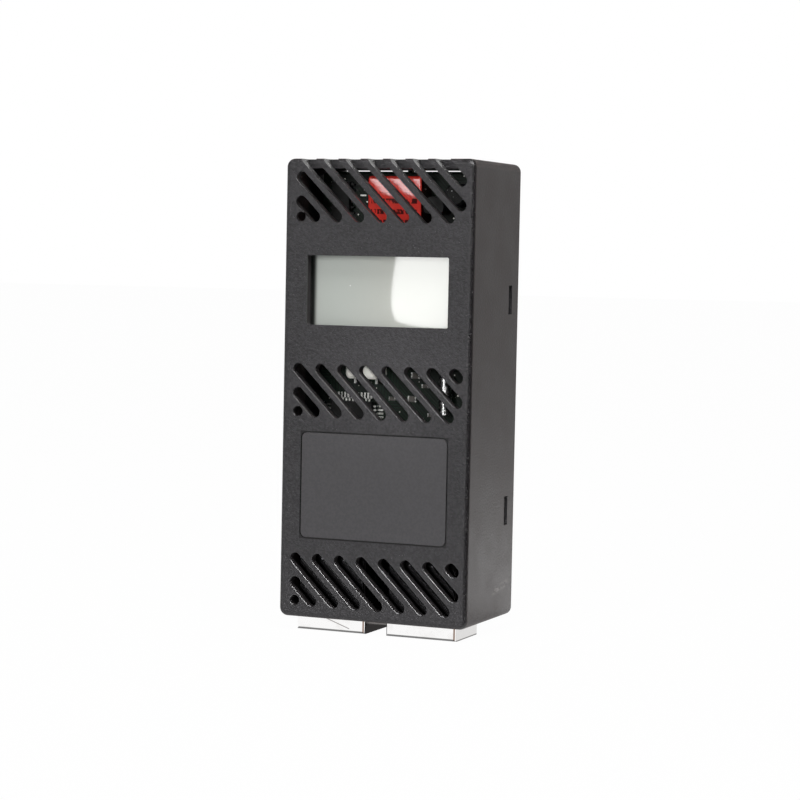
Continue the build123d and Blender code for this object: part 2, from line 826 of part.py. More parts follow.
def build():
    """Every piece by name."""
    parts = {
        "front_housing": front_housing(),
        "rear_cover": rear_cover(),
        "label_panel": label_panel(),
        "display_gasket": display_gasket(),
        "circuit_board": circuit_board(),
        "board_screws": board_screws(),
        "display_pins_upper": display_pins(1),
        "display_pins_lower": display_pins(-1),
        "box_capacitor": box_capacitor(),
        "box_capacitor_wires": box_capacitor_wires(),
        "humidity_sensor": humidity_sensor(),
        "humidity_sensor_pins": humidity_pins(),
        "crystal_can": crystal_can(),
        "electrolytic_capacitor": electrolytic_capacitor(),
        "temperature_sensor": temperature_probe(),
        "temperature_sensor_leads": temperature_probe_leads(),
    }
    parts.update(display_layers())
    parts["microcontroller"], parts["microcontroller_leads"] = controller()
    parts["sensor_amplifier"], parts["sensor_amplifier_leads"] = amplifier()
    for name, centre in (("left", -jack_centre), ("right", jack_centre)):
        parts[name + "_jack_shield"] = jack_shield(centre)
        parts[name + "_jack_body"] = jack_body(centre)
        parts[name + "_jack_contacts"] = jack_contacts(centre)
    capacitor_sizes = (chip_capacitor_length, chip_capacitor_height, chip_capacitor_thickness)
    parts.update(chip_parts(chip_capacitor_shares, *capacitor_sizes))
    resistor_sizes = (chip_resistor_length, chip_resistor_height, chip_resistor_thickness)
    parts.update(chip_parts(chip_resistor_shares, *resistor_sizes))
    return parts


os.makedirs("parts", exist_ok=True)
for name, shape in build().items():
    export_step(shape, "parts/" + name + ".step")
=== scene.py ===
import json
import math
import bmesh
import bpy
from mathutils import Matrix, Vector


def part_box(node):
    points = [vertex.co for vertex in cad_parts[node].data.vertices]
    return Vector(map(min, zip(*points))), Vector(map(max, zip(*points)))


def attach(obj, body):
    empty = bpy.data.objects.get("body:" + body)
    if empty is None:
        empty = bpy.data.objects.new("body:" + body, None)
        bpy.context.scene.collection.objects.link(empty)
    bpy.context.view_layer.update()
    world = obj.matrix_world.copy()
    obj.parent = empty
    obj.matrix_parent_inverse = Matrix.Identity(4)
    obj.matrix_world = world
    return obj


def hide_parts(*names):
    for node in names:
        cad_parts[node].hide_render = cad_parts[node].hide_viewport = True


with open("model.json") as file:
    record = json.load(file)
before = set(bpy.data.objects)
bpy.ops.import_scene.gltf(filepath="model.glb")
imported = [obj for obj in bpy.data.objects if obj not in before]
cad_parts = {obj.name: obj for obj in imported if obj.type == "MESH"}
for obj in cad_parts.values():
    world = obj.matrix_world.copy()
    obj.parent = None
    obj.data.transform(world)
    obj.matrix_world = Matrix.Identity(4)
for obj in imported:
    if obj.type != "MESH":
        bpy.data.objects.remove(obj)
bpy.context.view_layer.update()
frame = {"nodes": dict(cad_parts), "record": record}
nodes = frame["nodes"]

MM = 0.001

# Sizes and places on the part, in millimetres
front_wall = 2.0
slot_reach = 5.0
notch_reach = 6.0
groove_reach = 0.34
groove_depth = 1.0
softened_edge = 0.3
band_margin = 0.5
touching = 0.01
leads_per_side = 11
lead_pitch = 0.8
pad_length = 1.3
pad_width = 0.46
pad_thickness = 0.06
pad_softening = 0.025
loose_pad = (-10.2, 95.12)
loose_pad_size = (1.45, 0.34)
printed_rows = (-0.6, 91.6, 5.4, 4.0)
printed_row_pitch = 2.3
display_speck = (-7.6, 75.3)
scuff_place = (6.5, 8.9)


class Value:
    """A socket's value in a material, so that shader maths reads as arithmetic."""

    def __init__(self, finish, socket):
        self.finish = finish
        self.socket = socket

    def math(self, operation, *others):
        return self.finish.node("ShaderNodeMath", {"operation": operation}, dict(enumerate((self, *others))))

    def __add__(self, other):
        return self.math("ADD", other)

    def __mul__(self, other):
        return self.math("MULTIPLY", other)

    def __sub__(self, other):
        return self.math("SUBTRACT", other)

    def __rsub__(self, other):
        return self * -1.0 + other

    def __gt__(self, other):
        return self.math("GREATER_THAN", other)

    def __lt__(self, other):
        return self.math("LESS_THAN", other)

    def __abs__(self):
        return self.math("ABSOLUTE")

    def clamped(self):
        return self.finish.node("ShaderNodeClamp", {}, {0: self})

    def ramp(self, low, high, start=0.0, end=1.0):
        """Smooth step from start to end as the value goes from low to high."""
        settings = {"interpolation_type": "SMOOTHSTEP"}
        sockets = {"Value": self, "From Min": low, "From Max": high, "To Min": start, "To Max": end}
        return self.finish.node("ShaderNodeMapRange", settings, sockets)


class Finish:
    """A material, built up node by node."""

    def __init__(self, name, **constants):
        self.material = bpy.data.materials.new(name)
        self.material.use_nodes = True
        self.tree = self.material.node_tree
        self.surface = self.tree.nodes["Principled BSDF"]
        for socket, value in constants.items():
            self.surface.inputs[socket.replace("_", " ")].default_value = value

    def node(self, kind, settings, sockets, output=0):
        """Adds a node: its settings first, then the values or links of its sockets."""
        added = self.tree.nodes.new(kind)
        for name, value in settings.items():
            setattr(added, name, value)
        for key, value in sockets.items():
            self.connect(added.inputs[key], value)
        return Value(self, added.outputs[output])

    def connect(self, target, value):
        if isinstance(value, Value):
            self.tree.links.new(value.socket, target)
        else:
            target.default_value = value

    def set(self, **sockets):
        """Feeds the surface shader's sockets."""
        for name, value in sockets.items():
            self.connect(self.surface.inputs[name.replace("_", " ")], value)
        return self

    def shown(self, shader):
        """Shows another shader in place of the surface shader."""
        self.tree.links.new(shader.socket, self.tree.nodes["Material Output"].inputs["Surface"])
        return self.material

    def place(self):
        """Position on the object, in metres."""
        return self.node("ShaderNodeTexCoord", {}, {}, "Object")

    def axes(self):
        """The three coordinates of the position, in millimetres."""
        split = self.node("ShaderNodeSeparateXYZ", {}, {0: self.place()}).socket.node
        return [Value(self, output) * (1 / MM) for output in split.outputs]

    def facing(self):
        """How far the surface faces along each axis."""
        normal = self.node("ShaderNodeNewGeometry", {}, {}, "Normal")
        split = self.node("ShaderNodeSeparateXYZ", {}, {0: normal}).socket.node
        return [Value(self, output) for output in split.outputs]

    def noise(self, size, detail=2.0, roughness=0.5, stretch=(1, 1, 1)):
        """Noise with features about size millimetres across."""
        scaled = self.node("ShaderNodeVectorMath", {"operation": "MULTIPLY"}, {0: self.place(), 1: stretch})
        sockets = {"Vector": scaled, "Scale": 1 / (size * MM), "Detail": detail, "Roughness": roughness}
        return self.node("ShaderNodeTexNoise", {}, sockets)

    def cells(self, size, output="Distance", randomness=1.0):
        """Voronoi cells about size millimetres across."""
        sockets = {"Vector": self.place(), "Scale": 1 / (size * MM), "Randomness": randomness}
        return self.node("ShaderNodeTexVoronoi", {}, sockets, output)

    def mix(self, factor, first, second):
        """Blend of two colours."""
        sockets = {"Factor": factor, 6: first, 7: second}
        return self.node("ShaderNodeMix", {"data_type": "RGBA"}, sockets, 2)

    def bump(self, height, depth, strength=1.0):
        """Surface relief: height runs from 0 to 1 over depth millimetres."""
        sockets = {"Strength": strength, "Distance": depth * MM, "Height": height}
        return self.set(Normal=self.node("ShaderNodeBump", {}, sockets))


def grey(level):
    return (level, level, level, 1)


def band(value, centre, half):
    """1 within half of the centre, otherwise 0."""
    return abs(value - centre) < half


def box_mask(x, z, middle_x, middle_z, half_x, half_z):
    return band(x, middle_x, half_x) * band(z, middle_z, half_z)


# Moulded plastics
def inner_wall(finish):
    """1 on the smoother walls inside the slots and notches, 0 on the grained outside."""
    x, y, z = finish.axes()
    face_x, face_y, face_z = [abs(part) for part in finish.facing()]
    low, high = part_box("front_housing")
    across = abs(x) < high.x / MM - front_wall
    between = (z > low.z / MM + front_wall) * (z < high.z / MM - front_wall)
    near_front = y < low.y / MM + slot_reach
    return across * near_front * (face_y < 0.96) * ((face_x > 0.3) + between).clamped()


def painted_groove_shade(finish):
    """1 in the narrow groove between the label and its recess, where shade is painted, otherwise 0."""
    x, y, z = finish.axes()
    low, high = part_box("label_panel")
    middle = (low + high) / 2 / MM
    half = (high - low) / 2 / MM
    beside = box_mask(x, z, middle.x, middle.z, half.x + groove_reach, half.z + groove_reach)
    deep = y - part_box("front_housing")[0].y / MM
    return beside * (deep < groove_depth)


def scuff_mark(finish):
    """Streaks of the scuff low on the right side."""
    x, y, z = finish.axes()
    middle_y, middle_z = scuff_place
    streak = finish.noise(1.6, 4.0, 0.7, (1, 0.5, 1.6)).ramp(0.46, 0.6)
    lean = z - (y + 0.7) * 0.15
    return abs(lean - middle_z).ramp(1.2, 0.2) * abs(y - middle_y).ramp(6.0, 2.0) * streak


def grained_plastic(name, base, light, front_grain):
    """Black moulding with spark-eroded grain, coarser on the front than on the sides."""
    finish = Finish(name, Specular_IOR_Level=0.5)
    facing_front = abs(finish.facing()[1]).ramp(0.3, 0.8)
    grained = 1 - inner_wall(finish)
    fine = finish.noise(0.2, 2.0, 0.6)
    pits = finish.noise(0.5, 2.0, 0.55)
    mottle = finish.noise(7.0, 3.0)
    glint_specks = (finish.cells(0.62).ramp(0.13, 0.05) * finish.noise(1.3, 1.0).ramp(0.5, 0.62)).clamped()
    shade = (pits.ramp(0.35, 0.65) * 0.7 + mottle.ramp(0.3, 0.7) * 0.3).clamped()
    colour = finish.mix(shade, base, light)
    # Painted tint: sides, top and bottom are tinted warmer and a little lighter than the front, for the warm
    # light seen on the side.
    painted_side_tint = finish.mix(mottle.ramp(0.3, 0.7), (0.027, 0.0185, 0.0175, 1), (0.035, 0.025, 0.0235, 1))
    colour = finish.mix(facing_front, painted_side_tint, colour)
    # Painted glints: pale specks on the front grain stand in for the grain catching the light.
    painted_glint_amount = glint_specks * facing_front * front_grain * grained
    colour = finish.mix(painted_glint_amount * 0.5, colour, grey(0.26))
    x, y, z = finish.axes()
    low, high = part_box("front_housing")
    wall = 1 - grained
    # Painted light: slot walls are painted light grey towards the top notches, standing in for the light that
    # falls on them there.
    painted_wall_light = finish.mix(z.ramp(95.0, 98.0), (0.016, 0.015, 0.017, 1), grey(0.11))
    colour = finish.mix(wall * 0.7, colour, painted_wall_light)
    # Painted shade: faces turned sideways, inside the outer sides and over 8 mm behind the front, are painted
    # near black.
    painted_inner_shade = (abs(finish.facing()[0]) > 0.97) * (abs(x) < high.x / MM - 0.2) * (y > low.y / MM + 8.0)
    colour = finish.mix(painted_inner_shade * 0.95, colour, grey(0.001))
    # Painted shade: the groove round the label is painted near black.
    colour = finish.mix(painted_groove_shade(finish) * 0.9, colour, grey(0.002))
    # Painted reflection: the front-right fillet is painted near black for the dark it reflects, with pale
    # specks on it as painted glints.
    turn = abs(finish.facing()[1])
    corner = turn.ramp(0.15, 0.4) * turn.ramp(0.985, 0.88) * (x > high.x / MM - 3.0) * front_grain
    colour = finish.mix(corner * 0.8, colour, (0.006, 0.005, 0.006, 1))
    colour = finish.mix(corner * glint_specks * 0.9, colour, grey(0.5))
    on_right = (x > high.x / MM - 0.1) * front_grain
    scuff = scuff_mark(finish) * on_right
    colour = finish.mix(scuff * 0.7, colour, (0.24, 0.22, 0.21, 1))
    height = fine * 0.3 + pits * 0.7 + glint_specks * 0.2
    rough = mottle.ramp(0.3, 0.7, -0.03, 0.03) + pits * 0.06 + facing_front * 0.13 + 0.49
    edge = wall * (y < low.y / MM + 0.45)
    rough = (rough - corner * 0.36) * (edge * -0.5 + 1) + (wall - edge) * 0.35
    finish.set(Base_Color=colour, Roughness=rough)
    notch = wall * z.ramp(96.5, 98.5)
    finish.set(Coat_Weight=(edge * z.ramp(30.0, 36.0, 1.0, 0.3)).math("MAXIMUM", notch))
    finish.set(Coat_Roughness=0.1, Coat_IOR=2.1)
    relief = height * (facing_front * 0.6 + 0.4) * (grained * 0.85 + 0.15)
    return finish.bump(relief, 0.3, 0.9).material


def label_film():
    """Satin overlay, a little paler and smoother than the moulding."""
    finish = Finish("label film", Specular_IOR_Level=0.45)
    fine = finish.noise(0.12, 2.0)
    cloud = finish.noise(9.0, 2.0)
    grain = finish.noise(0.5, 2.0, 0.6)
    blend = (cloud * 0.5 + grain.ramp(0.35, 0.65) * 0.5).clamped()
    colour = finish.mix(blend, (0.036, 0.034, 0.037, 1), (0.052, 0.0495, 0.053, 1))
    # Painted shade: the label's cut edges, down in the groove, are painted near black.
    painted_edge_shade = (abs(finish.facing()[1]) < 0.7).clamped()
    finish.set(Base_Color=finish.mix(painted_edge_shade, colour, grey(0.003)))
    finish.set(Roughness=cloud.ramp(0.3, 0.7, 0.54, 0.6))
    return finish.bump(fine, 0.012, 0.5).material


def gloss_red():
    """Red moulded case with rows of short printed bars."""
    finish = Finish("red case", Specular_IOR_Level=0.6)
    x, y, z = finish.axes()
    cloud = finish.noise(2.5, 3.0)
    colour = finish.mix(cloud, (0.75, 0.03, 0.025, 1), (0.9, 0.08, 0.06, 1))
    rows = (z * (1 / printed_row_pitch)).math("FRACT").ramp(0.52, 0.56)
    strokes = finish.noise(0.7, 1.0, 0.5, (1, 1, 0.5)).ramp(0.44, 0.48)
    field = box_mask(x, z, *printed_rows) * (abs(finish.facing()[1]) > 0.8)
    colour = finish.mix(rows * strokes * field * 0.93, colour, (0.03, 0.01, 0.01, 1))
    finish.set(Roughness=cloud.ramp(0.2, 0.8, 0.08, 0.14))
    lean = z.ramp(85.0, 95.8, 0.0, 1.2) + finish.noise(2.2, 1.0) * 0.02 + finish.noise(0.5, 3.0) * 0.006
    # Painted shade: the case's side faces are painted near black.
    side = abs(finish.facing()[0]) > 0.6
    finish.set(Base_Color=finish.mix(side * 0.95, colour, (0.004, 0.001, 0.001, 1)))
    return finish.bump(lean - x * 0.03, 1.0, 1.0).material


def white_moulding():
    """White case of the humidity sensor."""
    finish = Finish("white case")
    cloud = finish.noise(1.5, 3.0)
    finish.set(Base_Color=finish.mix(cloud, (0.84, 0.83, 0.76, 1), (0.93, 0.92, 0.86, 1)))
    finish.set(Roughness=cloud.ramp(0.2, 0.8, 0.36, 0.5))
    return finish.bump(finish.noise(0.2, 2.0), 0.01, 0.4).material


def moulded_epoxy():
    """Dull black chip body with faint flow marks."""
    finish = Finish("chip epoxy", Specular_IOR_Level=0.15)
    cloud = finish.noise(1.2, 4.0, 0.6)
    finish.set(Base_Color=finish.mix(cloud, grey(0.006), grey(0.014)))
    finish.set(Roughness=cloud.ramp(0.3, 0.7, 0.4, 0.6))
    return finish.bump(finish.noise(0.12, 3.0), 0.012, 0.6).material


def socket_plastic():
    """Black insert of a jack."""
    finish = Finish("socket plastic")
    cloud = finish.noise(0.8, 3.0)
    finish.set(Base_Color=finish.mix(cloud, grey(0.012), grey(0.022)))
    finish.set(Roughness=cloud.ramp(0.3, 0.7, 0.35, 0.5))
    return finish.bump(finish.noise(0.15, 2.0), 0.01, 0.5).material


def can_sleeve():
    """Shrunk sleeve round the small can: ringed top, one pale stripe down its side."""
    finish = Finish("can sleeve", Specular_IOR_Level=0.06)
    x, y, z = finish.axes()
    low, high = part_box("electrolytic_capacitor")
    middle = (low + high) / 2 / MM
    across = x - middle.x
    up = z - middle.z
    radius = (across * across + up * up).math("SQRT")
    on_top = abs(finish.facing()[1]).ramp(0.7, 0.9)
    rings = (radius * 2.4).math("FRACT").ramp(0.35, 0.6)
    stripe = (across > 1.4) * (1 - on_top) * band(up, 0.0, 1.1)
    sleeve = finish.mix(finish.noise(0.9, 2.0), grey(0.005), grey(0.012))
    sleeve = finish.mix(stripe, sleeve, (0.1, 0.1, 0.11, 1))
    colour = finish.mix(on_top * rings * 0.35, sleeve, grey(0.04))
    dots = finish.cells(0.9).ramp(0.2, 0.12) * (finish.noise(1.5, 0.0) > 0.46)
    colour = finish.mix(dots * 0.8, colour, grey(0.4))
    finish.set(Base_Color=colour, Roughness=0.4 - rings * on_top * 0.15)
    return finish.bump(rings * on_top, 0.05, 0.8).material


def foam():
    """Closed-cell foam of the gasket."""
    finish = Finish("foam", Roughness=0.95, Specular_IOR_Level=0.2)
    bubbles = finish.cells(0.3)
    finish.set(Base_Color=finish.mix(bubbles, grey(0.008), grey(0.022)))
    return finish.bump(bubbles, 0.06, 0.8).material


# Display
def display_film():
    """Grey-green face of the blank display under its glossy film."""
    finish = Finish("display film", Specular_IOR_Level=0.2)
    finish.set(Coat_Weight=1.0, Coat_Roughness=0.02, Coat_IOR=1.6)
    x, y, z = finish.axes()
    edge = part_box("display_front_film")[0].x / MM + 1.7
    cloud = finish.noise(14.0, 2.0)
    grain = finish.noise(0.14, 2.0)
    face = finish.mix(cloud, (0.4, 0.425, 0.395, 1), (0.415, 0.44, 0.41, 1))
    # Painted reflection: the face is painted lighter towards the right.
    face = finish.mix((x - edge).ramp(5.0, 22.0) * 0.8, face, (0.455, 0.46, 0.42, 1))
    speck = box_mask(x, z, *display_speck, 0.12, 0.12)
    face = finish.mix(grain * 0.08, face, (0.38, 0.41, 0.38, 1))
    # Painted shadow: a soft near-black band along the left edge stands in for the shadow of the window's left
    # wall.
    painted_wall_shadow = (x - edge).ramp(1.3, 0.15)
    face = finish.mix(painted_wall_shadow * 0.97, face, (0.004, 0.005, 0.005, 1))
    face = finish.mix(speck * 0.7, face, grey(0.8))
    finish.set(Base_Color=face, Roughness=0.5)
    return finish.bump(finish.noise(7.0, 1.0), 0.004, 0.4).material


def display_glass():
    """Greenish glass with faint streaks."""
    finish = Finish("display glass", Roughness=0.06, Transmission_Weight=0.6, IOR=1.5)
    streak = finish.noise(2.0, 2.0)
    finish.set(Base_Color=finish.mix(streak, (0.62, 0.72, 0.66, 1), (0.75, 0.82, 0.77, 1)))
    return finish.bump(finish.noise(0.4, 2.0), 0.004, 0.3).material


def reflector_film():
    """Pale reflector behind the display."""
    finish = Finish("reflector film", Roughness=0.6)
    cloud = finish.noise(1.0, 3.0)
    finish.set(Base_Color=finish.mix(cloud, (0.4, 0.44, 0.4, 1), (0.52, 0.55, 0.51, 1)))
    return finish.bump(cloud, 0.01, 0.3).material


# Circuit board
def board_laminate():
    """Green solder resist over copper tracks that run in blocks, with bare drilled edges."""
    finish = Finish("board laminate", Specular_IOR_Level=0.2)
    x, y, z = finish.axes()
    block_colour = finish.cells(7.5, "Color", 0.9)
    split = finish.node("ShaderNodeSeparateColor", {}, {0: block_colour}).socket.node
    choice = Value(finish, split.outputs[0])
    spread = Value(finish, split.outputs[1])
    level = (z * (1 / 0.62)).math("FRACT")
    upright = (x * (1 / 0.7)).math("FRACT")
    slanted = ((x + z) * (1 / 0.85)).math("FRACT")
    first = (choice < 0.42) * level + (choice > 0.42) * (choice < 0.72) * upright + (choice > 0.72) * slanted
    tracks = band(first, 0.5, 0.2) * (spread > 0.22)
    pads = finish.cells(1.1).ramp(0.15, 0.13) * (finish.noise(3.1, 0.0) > 0.43)
    legend = band(z, 57.7, 0.12) * band(x, 8.6, 1.4) + band(x, 9.8, 0.12) * band(z, 56.4, 1.2)
    cloud = finish.noise(3.0, 3.0)
    resist = finish.mix(cloud, (0.0008, 0.0034, 0.0016, 1), (0.0017, 0.0075, 0.0034, 1))
    colour = finish.mix(tracks * 0.5, resist, (0.005, 0.024, 0.011, 1))
    colour = finish.mix(pads, colour, (0.55, 0.54, 0.5, 1))
    colour = finish.mix(legend.clamped() * 0.8, colour, grey(0.7))
    edge = abs(finish.facing()[1]) < 0.5
    colour = finish.mix(edge, colour, (0.2, 0.17, 0.08, 1))
    finish.set(Base_Color=colour, Metallic=pads * (1 - edge), Roughness=0.5 - pads * 0.2)
    return finish.bump((tracks + pads).clamped(), 0.04, 0.7).material


def bright_metal(name, base, light, rough, grain=0.25):
    """Plated small metal, slightly dull and uneven."""
    finish = Finish(name, Metallic=1.0)
    cloud = finish.noise(grain, 3.0)
    finish.set(Base_Color=finish.mix(cloud, base, light))
    finish.set(Roughness=cloud.ramp(0.25, 0.75, rough, rough + 0.14))
    return finish.bump(finish.noise(grain / 2, 3.0), 0.012, 0.5).material


def shield_metal():
    """Bright tin plate with rolling lines, stains and one crease.

    Painted shade and reflection: the crease and the front fold of each jack carry painted lines, the plate
    inside the housing and the faces that the two jacks turn to each other are painted dark, and the outer
    sides are painted greyer with a dark foot.
    """
    finish = Finish("shield metal", Metallic=1.0)
    x, y, z = finish.axes()
    rolling = finish.noise(0.5, 3.0, 0.6, (1, 1, 14))
    stain = finish.noise(3.2, 3.0)
    plate = finish.mix(stain.ramp(0.45, 0.7), (0.95, 0.945, 0.94, 1), (0.88, 0.87, 0.86, 1))
    # Painted shade: a thin dark line drawn along the crease on the left jack's front.
    painted_crease_shade = abs(z - 3.0 + (x + 12.1) * 0.35).ramp(0.15, 0.06) * band(x, -9.1, 3.0)
    plate = finish.mix(painted_crease_shade * 0.75, plate, (0.16, 0.14, 0.13, 1))
    # Painted reflection: a thin brown line down the front fold of each shield.
    for node in ("left_jack_shield", "right_jack_shield"):
        low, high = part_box(node)
        painted_fold_reflection = band(x, high.x / MM - 0.4, 0.16) * (y < low.y / MM + 0.2)
        plate = finish.mix(painted_fold_reflection * 0.85, plate, (0.2, 0.1, 0.05, 1))
    sideways = abs(finish.facing()[0]) > 0.9
    # Painted shade: the faces that the two jacks turn to each other are painted near black.
    between = sideways * (abs(x) < 4.0)
    plate = finish.mix(between * 0.93, plate, (0.03, 0.02, 0.016, 1))
    # Painted shade: the outer sides are painted greyer, with a painted dark strip along their foot.
    painted_outer_shade = sideways * (abs(x) > 15.0)
    plate = finish.mix(painted_outer_shade * 0.8, plate, (0.64, 0.63, 0.62, 1))
    plate = finish.mix(painted_outer_shade * z.ramp(0.35, 0.15) * 0.8, plate, (0.12, 0.11, 0.1, 1))
    # Painted shade: the plate inside the housing, above 3.1 mm, is painted dark.
    inside = z.ramp(3.1, 3.8) * 0.9
    finish.set(Base_Color=finish.mix(inside, plate, (0.05, 0.052, 0.06, 1)))
    finish.set(Roughness=stain.ramp(0.3, 0.7, 0.04, 0.08) + rolling * 0.03)
    return finish.bump(rolling * 0.25 + stain * 0.4, 0.02, 0.5).material


def gold_plate():
    """Gold flash over the contact springs, uneven in tone."""
    finish = Finish("contact gold", Metallic=1.0)
    cloud = finish.noise(0.6, 3.0)
    finish.set(Base_Color=finish.mix(cloud, (0.86, 0.62, 0.24, 1), (0.9, 0.72, 0.38, 1)))
    finish.set(Roughness=cloud.ramp(0.2, 0.8, 0.16, 0.3))
    return finish.bump(finish.noise(0.2, 2.0), 0.006, 0.4).material


def chip_ceramic(middle, half):
    """Small ceramic part with bright soldered ends."""
    finish = Finish("chip ceramic")
    x, y, z = finish.axes()
    ends = (abs(x - middle) - half * 0.7) > 0.0
    cloud = finish.noise(0.3, 3.0)
    body = finish.mix(cloud, (0.03, 0.025, 0.02, 1), (0.06, 0.05, 0.04, 1))
    flux = finish.mix((finish.noise(0.35, 2.0) > 0.52) * 0.85, (0.5, 0.5, 0.48, 1), grey(0.03))
    finish.set(Base_Color=finish.mix(ends, body, flux), Metallic=ends * 0.8, Roughness=0.42 - ends * 0.14)
    return finish.bump(cloud, 0.02, 0.5).material


finishes = {
    "housing_plastic": grained_plastic(
        "housing plastic", (0.015, 0.0143, 0.0157, 1), (0.0334, 0.0312, 0.0343, 1), 1.0
    ),
    "cover_plastic": grained_plastic(
        "cover plastic", (0.0185, 0.0176, 0.0194, 1), (0.0299, 0.029, 0.0308, 1), 0.6
    ),
    "label_film": label_film(),
    "foam": foam(),
    "display_film": display_film(),
    "display_glass": display_glass(),
    "reflector_film": reflector_film(),
    "board_laminate": board_laminate(),
    "screw_steel": bright_metal("screw steel", (0.5, 0.5, 0.5, 1), (0.68, 0.67, 0.64, 1), 0.28),
    "tinned_metal": bright_metal("tinned metal", (0.3, 0.3, 0.29, 1), (0.52, 0.52, 0.5, 1), 0.24, 0.15),
    "red_plastic": gloss_red(),
    "white_plastic": white_moulding(),
    "can_metal": bright_metal("can metal", (0.6, 0.6, 0.6, 1), (0.85, 0.85, 0.85, 1), 0.16, 0.6),
    "sleeve_plastic": can_sleeve(),
    "chip_plastic": moulded_epoxy(),
    "shield_metal": shield_metal(),
    "socket_plastic": socket_plastic(),
    "contact_gold": gold_plate(),
}


def dress_nodes():
    """Gives every CAD node the finish of its slot."""
    for part in frame["record"]["subparts"]:
        node, slot = part["node"], part["material_slot"]
        if slot == "chip_ceramic":
            low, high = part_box(node)
            finish = chip_ceramic((low.x + high.x) / 2 / MM, (high.x - low.x) / 2 / MM)
        # Painted shade: the amplifier's leads get a near-black metal, standing in for the shade they sit in.
        elif node == "sensor_amplifier_leads":
            finish = bright_metal("painted shade leads", grey(0.02), grey(0.05), 0.45, 0.2)
        else:
            finish = finishes[slot]
        materials = nodes[node].data.materials
        materials.clear()
        materials.append(finish)


def finished_piece(name, shape, slot, *replaced):
    """Object from a bmesh, in place, riding on the part with the finish of its slot."""
    mesh = bpy.data.meshes.new(name)
    shape.to_mesh(mesh)
    shape.free()
    mesh.materials.append(finishes[slot])
    piece = bpy.data.objects.new(name, mesh)
    bpy.context.scene.collection.objects.link(piece)
    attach(piece, "root")
    if replaced:
        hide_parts(*replaced)
    return piece


def smooth_by_angle(shape, degrees):
    """Smooth shading, broken where the surface turns by more than the angle."""
    limit = math.radians(degrees)
    for face in shape.faces:
        face.smooth = True
    for edge in shape.edges:
        edge.smooth = edge.calc_face_angle(math.pi) < limit


def welded_copy(node):
    """Closed, merged copy of a CAD node's mesh with its flat faces joined up."""
    shape = bmesh.new()
    shape.from_mesh(nodes[node].data)
    bmesh.ops.remove_doubles(shape, verts=shape.verts, dist=0.002 * MM)
    bmesh.ops.dissolve_limit(
        shape, angle_limit=math.radians(0.3), verts=shape.verts, edges=shape.edges, delimit={"NORMAL"}
    )
    return shape


def slot_edges(shape, bottom, top):
    """The sharp edges of the slots in one band, on the front and along the top."""
    low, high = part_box("front_housing")
    sharp = []
    for edge in shape.edges:
        ends = [vert.co for vert in edge.verts]
        if not all(bottom < end.z < top for end in ends):
            continue
        on_front = all(abs(end.y - low.y) < touching * MM for end in ends)
        on_top = all(abs(end.z - high.z) < touching * MM for end in ends)
        near_front = all(end.y < low.y + notch_reach * MM for end in ends)
        if (on_front or on_top and near_front) and edge.calc_face_angle(0) > math.radians(40):
            sharp.append(edge)
    return sharp


def soften(shape, edges, offset, segments):
    """Rounds some edges of a shape over an offset in millimetres."""
    bmesh.ops.bevel(
        shape,
        geom=edges,
        offset=offset * MM,
        segments=segments,
        profile=0.5,
        affect="EDGES",
        material=-1,
        clamp_overlap=True,
    )


def moulded_housing():
    """The front moulding with the edges of its slots softened, band by band."""
    shape = welded_copy("front_housing")
    low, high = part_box("front_housing")
    label_low, label_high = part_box("label_panel")
    glass_low, glass_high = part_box("display_front_glass")
    margin = band_margin * MM
    bands = (
        (low.z, label_low.z - margin),
        (label_high.z + margin, glass_low.z - margin),
        (glass_high.z + margin, high.z + margin),
    )
    for bottom, top in bands:
        soften(shape, slot_edges(shape, bottom, top), softened_edge, 3)
    smooth_by_angle(shape, 34)
    housing = finished_piece("moulded_housing", shape, "housing_plastic", "front_housing")
    shading = housing.modifiers.new("even shading", "WEIGHTED_NORMAL")
    shading.keep_sharp = True
    shading.weight = 100


def solder_pad(shape, x, z, width, height, board_face):
    """One flat pad of solder with soft edges, lying on the front of the board."""
    flat = Matrix.Diagonal((width * MM, pad_thickness * MM, height * MM, 1))
    place = Matrix.Translation((x, board_face - pad_thickness / 2 * MM, z)) @ flat
    made = bmesh.ops.create_cube(shape, size=1.0, matrix=place)
    every_edge = {edge for vert in made["verts"] for edge in vert.link_edges}
    long_edges = [edge for edge in every_edge if edge.calc_length() > 0.1 * MM]
    soften(shape, long_edges, pad_softening, 1)


def lead_pads():
    """Solder pads under the microcontroller's leads, and one loose pad high on the board."""
    shape = bmesh.new()
    board_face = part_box("circuit_board")[0].y
    low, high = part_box("microcontroller_leads")
    middle = (low + high) / 2
    for number in range(leads_per_side):
        step = (number - (leads_per_side - 1) / 2) * lead_pitch * MM
        for sign in (-1, 1):
            reach = (high.x - low.x) / 2 * sign
            solder_pad(shape, middle.x + reach, middle.z + step, pad_length, pad_width, board_face)
            solder_pad(shape, middle.x + step, middle.z + reach, pad_width, pad_length, board_face)
    loose_x, loose_z = loose_pad
    solder_pad(shape, loose_x * MM, loose_z * MM, *loose_pad_size, board_face)
    finished_piece("lead_pads", shape, "tinned_metal")


dress_nodes()
moulded_housing()
lead_pads()


# Studio
def stage_sheet(name, corners, material):
    """Flat sheet of the studio between four corners."""
    shape = bmesh.new()
    shape.faces.new([shape.verts.new(corner) for corner in corners])
    mesh = bpy.data.meshes.new(name)
    shape.to_mesh(mesh)
    shape.free()
    mesh.materials.append(material)
    sheet = bpy.data.objects.new(name, mesh)
    bpy.context.scene.collection.objects.link(sheet)


